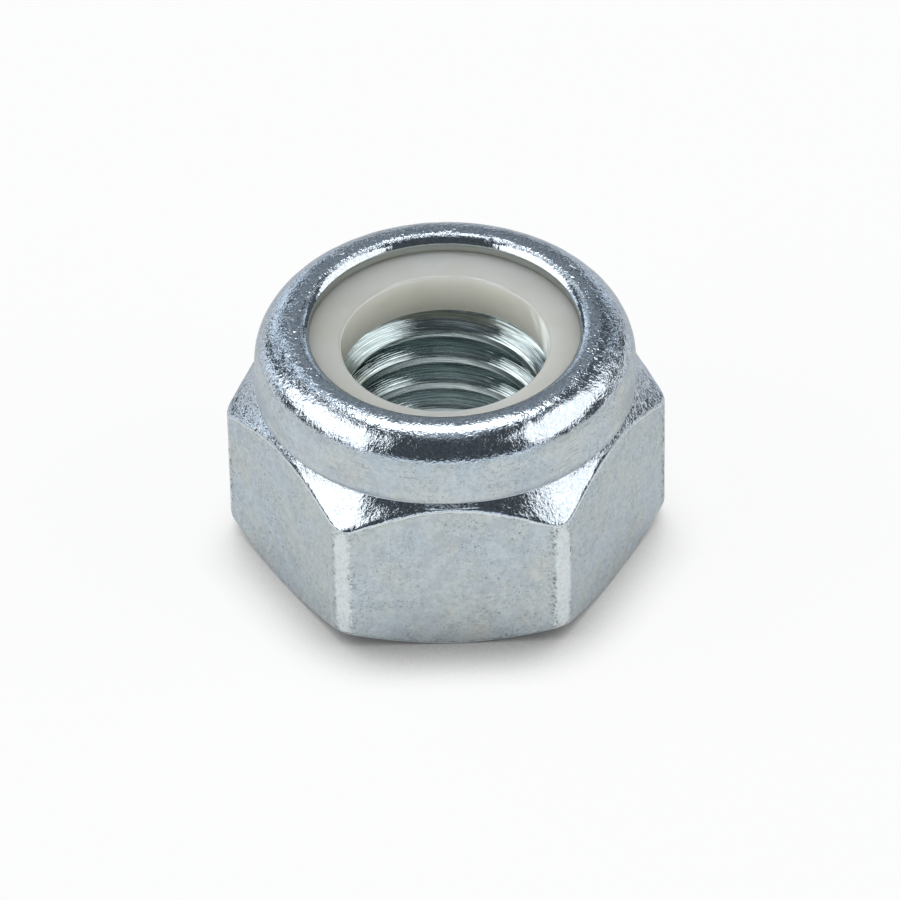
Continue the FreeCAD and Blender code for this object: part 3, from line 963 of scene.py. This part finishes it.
# The hole's wall gets a paler base colour and a faint emission: painted light for the light that comes
# through the ring.
nylon_material = ivory.surface(
    {
        "IOR": 1.53,
        "Specular IOR Level": 0.3,
        "Subsurface Weight": 1.0,
        "Subsurface Radius": (1.0, 0.92, 0.78),
        "Subsurface Scale": 5.0 * MM,
        "Base Color": ivory.blend(bore_wall, ivory_colour, HOLE_PAINTED_LIGHT),
        "Emission Color": ivory.blend(bore_wall, NO_GLOW, HOLE_PAINTED_GLOW),
        "Emission Strength": 1.0,
        "Roughness": 0.34 - inner_edge * 0.22 + (ivory_grain - 0.5) * 0.1,
        "Coat Weight": inner_edge * 0.9,
        "Coat Roughness": 0.1,
        "Normal": ivory.bump(ivory_grain, MOULDING_DEPTH),
    }
)

# %% [markdown]
# Each piece now gets its material, says which CAD node it stands for, and rides on the one body.

# %% Put the pieces in the frame
for piece, material, node in (
    (steel, zinc_material, "nut_body"),
    (nylon, nylon_material, "nylon_ring"),
):
    piece.data.materials.append(material)
    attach(piece, "root")
    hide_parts(node)
    print(piece.name, "stands for", node)

# %% [markdown]
# ## Studio
# The nut stands on a table covered with white paper, far wider than the picture. The paper lies
# a hundredth of a millimetre low, so that it never fights with the bearing face.

# %% Table
TABLE_RADIUS = 3.0
TABLE_GAP = 0.01
PAPER_DIM, PAPER_PALE = (0.93, 0.93, 0.93, 1), (0.95, 0.95, 0.95, 1)

table = bpy.data.meshes.new("table")
ring = bmesh.new()
bmesh.ops.create_circle(ring, cap_ends=True, radius=TABLE_RADIUS, segments=96)
ring.to_mesh(table)
ring.free()
floor = bpy.data.objects.new("table", table)
floor.location.z = -TABLE_GAP * MM
bpy.context.scene.collection.objects.link(floor)

paper = Finish("white_paper")
paper_colour = paper.blend(paper.noise(1.5, 3.0, 0.6), PAPER_DIM, PAPER_PALE)
paper_sockets = {"Base Color": paper_colour, "Roughness": 0.9, "Specular IOR Level": 0.2}
lit = paper.node("ShaderNodeBsdfPrincipled", None, paper_sockets)
table.materials.append(paper.material)

# %% [markdown]
# The paper is shown a little nearer to white than the lamps make it, and only to rays that look
# at it, so it puts no more light on the nut. Close to the nut, where little of the room is open
# above the paper, this lift fades almost to nothing, which paints a contact shadow darker than the
# one the lamps cast. The open room is measured round a normal that leans towards the back, so
# this painted shadow falls mostly in front of the nut.

# %% Paper seen nearly white
PAPER_LIFT = 0.88
OPEN_DISTANCE = 3.5
LIFT_IN_PAINTED_SHADOW = 0.06

ray = paper.node("ShaderNodeLightPath")
seen, mirrored, refracted = ray.others("Is Camera Ray", "Is Glossy Ray", "Is Transmission Ray")
looking = seen.most(mirrored).most(refracted)
towards_back = paper.vector(0.0, 0.7, 0.7)
open_sockets = {"Distance": OPEN_DISTANCE * MM, "Normal": towards_back}
open_above = paper.node("ShaderNodeAmbientOcclusion", {"samples": 6}, open_sockets, "AO")
# Near the nut this emission falls to its lowest share, which paints a contact shadow on the paper.
lifted = paper.node(
    "ShaderNodeBsdfPrincipled",
    None,
    {
        "Base Color": (0, 0, 0, 1),
        "Specular IOR Level": 0.0,
        "Emission Strength": 1.0,
        "Emission Color": LIFT_IN_PAINTED_SHADOW + paper.step(open_above, 0.15, 0.8) * (1 - LIFT_IN_PAINTED_SHADOW),
    },
)
paper.material.cycles.emission_sampling = "NONE"
paper.close(paper.node("ShaderNodeMixShader", None, {0: looking * PAPER_LIFT, 1: lit, 2: lifted}))


# %% [markdown]
# One softbox on each side draws the two broad highlights on the rim and the ledge, and one
# overhead lights the paper, the ring and the far side of the rim. Each is given by its radiance,
# so that making one larger doesn't make its reflection brighter.

# %% Softboxes
def softbox(name, centre, aim, width, height, radiance):
    """An area lamp that looks at a point, as bright as asked whatever its size."""
    lamp = bpy.data.lights.new(name, "AREA")
    lamp.shape = "RECTANGLE"
    lamp.size, lamp.size_y = width, height
    lamp.energy = radiance * math.pi * width * height
    holder = bpy.data.objects.new(name, lamp)
    holder.location = centre
    holder.rotation_mode = "QUATERNION"
    holder.rotation_quaternion = (Vector(aim) - Vector(centre)).to_track_quat("-Z", "Y")
    bpy.context.scene.collection.objects.link(holder)
    print(name, "gives", round(lamp.energy, 2), "W")


LEFT_LEVEL, RIGHT_LEVEL, TOP_LEVEL = 2.1, 1.75, 4.0
softbox("left_softbox", (-0.6, -0.12, 0.64), (0, -0.12, 0.64), 0.79, 0.89, LEFT_LEVEL)
softbox("right_softbox", (0.6, -0.11, 0.64), (0, -0.11, 0.64), 0.75, 0.89, RIGHT_LEVEL)
softbox("top_softbox", (0, 0.385, 1.2), (0, 0.385, 0), 0.84, 0.36, TOP_LEVEL)

# %% [markdown]
# What a bright rim shows is mostly the room. This one is dim, which draws the dark bands between
# the highlights. To each side at the back the wall is cluttered with pale and dark patches, so
# that the folds of the rim glitter, and straight behind the nut it is a plain soft grey. A low
# pale strip at the front lights the flats, and the ceiling is lighter straight above.

# %% Room
DIM, CEILING = 0.095, 0.45
BACK_CENTRE, BACK_GAP, FRONT_STRIP = 0.2, 0.03, 1.25
CLUTTER_SCALE = 3.2

world = bpy.data.worlds.new("dim_room")
bpy.context.scene.world = world
world.use_nodes = True
room = Graph(world.node_tree)
direction = room.node("ShaderNodeTexCoord", out="Generated")
axes = room.node("ShaderNodeSeparateXYZ", None, {0: direction})
across, depth, upward = axes.others("X", "Y", "Z")

behind = depth / ((across * across + depth * depth) ** 0.5 + 0.001)
aside = room.step(across * across, 0.015, 0.09)
clutter_sockets = {"Vector": direction, "Scale": CLUTTER_SCALE, "Detail": 1.0}
clutter = room.node("ShaderNodeTexNoise", None, clutter_sockets, "Fac")
patches = room.step(clutter, 0.52, 0.55) * (1.0 - across * 0.25)
back_wall = (1 - aside) * BACK_CENTRE + aside * patches + BACK_GAP
back_wall = room.step(behind, 0.3, 0.55) * back_wall
front_low = room.step(behind, -0.45, -0.8) * room.step(upward, 0.26, 0.18) * FRONT_STRIP
grey = DIM + back_wall + front_low + room.step(upward, 0.97, 0.995) * CEILING
wall_colour = room.node("ShaderNodeCombineColor", None, {0: grey * 0.9, 1: grey, 2: grey * 1.1})
room.tree.links.new(wall_colour.socket, world.node_tree.nodes["Background"].inputs["Color"])
print("The room has", len(room.tree.nodes), "nodes")

# %% [markdown]
# ## Camera
# The camera stands where the photograph was taken from: 350 mm away, 40 degrees above the table,
# a degree to the left, and rolled by a degree. A long lens keeps the hexagon's sides parallel.

# %% Camera
LOOK_AT = Vector((0, 0, 5 * MM))
DISTANCE, ELEVATION, SIDEWAYS, ROLL = 0.35, 40.23, 1.09, 1.06
LENS = 317.3
SHIFT = (0.004, -0.0211)
NEAR, FAR = 0.01, 10

lift, side = math.radians(ELEVATION), math.radians(SIDEWAYS)
back = Vector((-math.cos(lift) * math.sin(side), -math.cos(lift) * math.cos(side), math.sin(lift)))
camera = bpy.data.objects.new("camera", bpy.data.cameras.new("camera"))
camera.data.lens = LENS
camera.data.shift_x, camera.data.shift_y = SHIFT
camera.data.clip_start, camera.data.clip_end = NEAR, FAR
camera.location = LOOK_AT + back * DISTANCE
camera.rotation_mode = "QUATERNION"
roll = Quaternion((0, 0, 1), -math.radians(ROLL))
camera.rotation_quaternion = (-back).to_track_quat("-Z", "Y") @ roll
bpy.context.scene.collection.objects.link(camera)
bpy.context.scene.camera = camera
bpy.context.scene.view_settings.view_transform = "Standard"
print("Camera at", [round(c, 4) for c in camera.location], "m")

# %% [markdown]
# Last, the scene is brought up to date. The looks never change the size of the part.

# %% Finish
bpy.context.view_layer.update()
